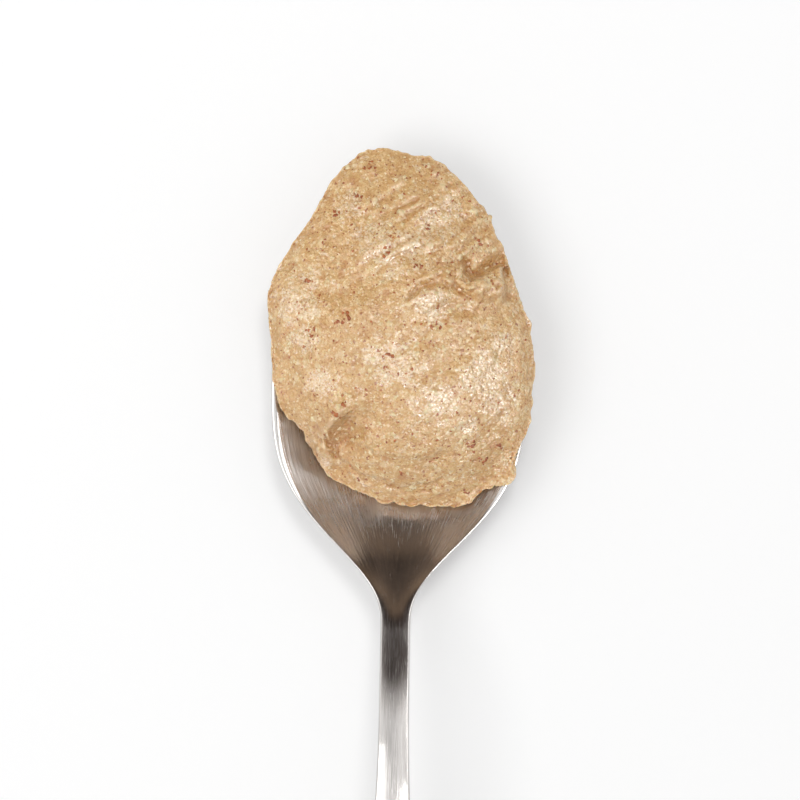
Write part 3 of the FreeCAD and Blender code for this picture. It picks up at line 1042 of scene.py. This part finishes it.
tree = BVHTree.FromObject(butter, bpy.context.evaluated_depsgraph_get())
clustered = cluster_places()
fleck_places = clustered + random_places(LOOSE_FLECKS)
clustered_sizes = random.uniform(0.2, 0.44, len(clustered))
loose_sizes = random.uniform(0.26, 0.5, LOOSE_FLECKS) ** 2 + 0.02
fleck_sizes = list(clustered_sizes) + list(loose_sizes)
flecks = scatter("skin_flecks", tree, fleck_places, fleck_sizes, FLECK_STRETCH, FLECK_SINK)
flecks.data.materials.append(pebble_material("nut_skin", srgb(146, 70, 26), srgb(194, 112, 54), 0.42))
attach(flecks, "root")

bit_places = random_places(NUT_BITS)
bit_sizes = random.uniform(0.22, 0.72, NUT_BITS)
bits = scatter("nut_bits", tree, bit_places, bit_sizes, BIT_STRETCH, BIT_SINK)
bits.data.materials.append(pebble_material("chopped_nut", srgb(228, 198, 146), srgb(242, 220, 178), 0.3))
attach(bits, "root")

# ---------------------------------------------------------------- floor, light and camera, in metres

FLOOR_HALF_SIDE = 2.0
FLOOR_GREY = 0.9
FLOOR_GLOW = 0.14  # added for the camera and in mirrors, so that the floor is white around the shadow

PLAIN_LIGHT = (0.55, 0.55, 0.55)
STUDIO_X = (-0.5, 1.0)
STUDIO_STRENGTH = (1.5, 1.5, 1.5)

# The studio that gloss mirrors: greys over the direction's X from STUDIO_X, times colours over its Y.
STUDIO_SIDES = (
    (0.0, 0.85), (0.27, 0.56), (0.36, 0.5), (0.47, 1.0), (0.57, 0.8), (0.72, 0.46), (0.90, 0.6), (0.985, 0.8),
)
STUDIO_AHEAD = (
    (0.40, (1, 1, 1)), (0.455, (0.8, 0.79, 0.78)), (0.515, (0.44, 0.42, 0.41)), (0.54, (0.19, 0.17, 0.16)),
    (0.556, (0.06, 0.048, 0.044)), (0.66, (0.05, 0.036, 0.030)), (0.695, (0.23, 0.16, 0.11)),
    (0.75, (0.23, 0.16, 0.11)), (0.772, (0.06, 0.045, 0.037)), (0.81, (0.06, 0.045, 0.037)),
    (0.88, (0.17, 0.13, 0.11)), (0.96, (0.4, 0.4, 0.4)),
)

# Square panels: name, place, side, watts, and whether they light matt surfaces and show in gloss.
LAMPS = (
    ("key", (-0.46, -0.14, 0.79), 0.55, 2.2, True, True),
    ("overhead", (0.08, 0.30, 0.90), 0.22, 1.9, True, False),
    ("near_panel", (0.45, -0.36, 0.83), 0.45, 9.0, False, True),
    ("left_panel", (-0.81, -0.12, 0.57), 0.5, 2.6, False, True),
    ("right_panel", (0.80, 0.20, 0.57), 0.5, 2.2, False, True),
)
LAMP_TARGET = Vector((0, 0.008, 0.01))

EYE_PLACE = (0.0002, -0.0048, 0.62)
EYE_TURN = 0.9  # degrees
SEEN_WIDTH = 0.138  # at the rim's height
SENSOR_WIDTH = 36  # millimetres, as Blender takes it


def make_floor():
    mesh = bpy.data.meshes.new("floor")
    side = FLOOR_HALF_SIDE
    corners = [(-side, -side, 0), (side, -side, 0), (side, side, 0), (-side, side, 0)]
    mesh.from_pydata(corners, [], [(0, 1, 2, 3)])
    floor = bpy.data.objects.new("floor", mesh)
    bpy.context.scene.collection.objects.link(floor)
    material, nodes = new_material("white_floor")
    rays = nodes.add("ShaderNodeLightPath")
    mirrored = nodes.math("MAXIMUM", rays.outputs["Is Glossy Ray"], rays.outputs["Is Transmission Ray"])
    paint = nodes.add("ShaderNodeBsdfDiffuse", {"Color": (FLOOR_GREY, FLOOR_GREY, FLOOR_GREY, 1)})
    seen = nodes.math("MAXIMUM", rays.outputs["Is Camera Ray"], mirrored)
    glow_power = nodes.math("MULTIPLY", seen, FLOOR_GLOW)
    glow = nodes.add("ShaderNodeEmission", {"Color": (1, 1, 1, 1), "Strength": glow_power})
    both = nodes.add("ShaderNodeAddShader", {0: paint.outputs[0], 1: glow.outputs[0]})
    nodes.add("ShaderNodeOutputMaterial", {0: both.outputs[0]})
    mesh.materials.append(material)


def make_world():
    """White to the camera, plain light to matt surfaces, and to gloss a studio that is dark ahead."""
    world = bpy.data.worlds.new("studio")
    world.use_nodes = True
    bpy.context.scene.world = world
    nodes = Nodes(world.node_tree)
    rays = nodes.add("ShaderNodeLightPath")
    direction = nodes.add("ShaderNodeTexCoord").outputs["Generated"]
    parts = nodes.add("ShaderNodeSeparateXYZ", {0: direction})
    sideways = nodes.between(parts.outputs[0], *STUDIO_X)
    sides = nodes.ramp(sideways, [(place, (grey, grey, grey)) for place, grey in STUDIO_SIDES])
    ahead = nodes.ramp(parts.outputs[1], STUDIO_AHEAD)
    studio = nodes.mix(1.0, nodes.mix(1.0, sides, ahead, "MULTIPLY"), STUDIO_STRENGTH, "MULTIPLY")
    unseen = nodes.mix(rays.outputs["Is Glossy Ray"], PLAIN_LIGHT, studio)
    light = nodes.mix(rays.outputs["Is Camera Ray"], unseen, (1.0, 1.0, 1.0))
    background = nodes.add("ShaderNodeBackground", {"Color": light, "Strength": 1.0})
    nodes.add("ShaderNodeOutputWorld", {0: background.outputs[0]})


def make_lamp(name, place, side, power, in_diffuse, in_gloss):
    light = bpy.data.lights.new(name, "AREA")
    light.shape = "SQUARE"
    light.size = side
    light.energy = power
    lamp = bpy.data.objects.new(name, light)
    lamp.location = place
    lamp.rotation_euler = (LAMP_TARGET - Vector(place)).to_track_quat("-Z", "Y").to_euler()
    lamp.visible_camera = False
    lamp.visible_diffuse = in_diffuse
    lamp.visible_glossy = in_gloss
    bpy.context.scene.collection.objects.link(lamp)


def make_camera():
    """Straight above, with the bowl's tip to the top of the picture and a slight turn."""
    camera = bpy.data.cameras.new("camera")
    camera.sensor_width = SENSOR_WIDTH
    camera.lens = SENSOR_WIDTH * (EYE_PLACE[2] - RIM_HEIGHT * MM) / SEEN_WIDTH
    eye = bpy.data.objects.new("camera", camera)
    eye.location = EYE_PLACE
    eye.rotation_euler = (0, 0, math.radians(EYE_TURN))
    bpy.context.scene.collection.objects.link(eye)
    bpy.context.scene.camera = eye


make_floor()
make_world()
for lamp in LAMPS:
    make_lamp(*lamp)
make_camera()
bpy.context.scene.view_settings.view_transform = "Standard"
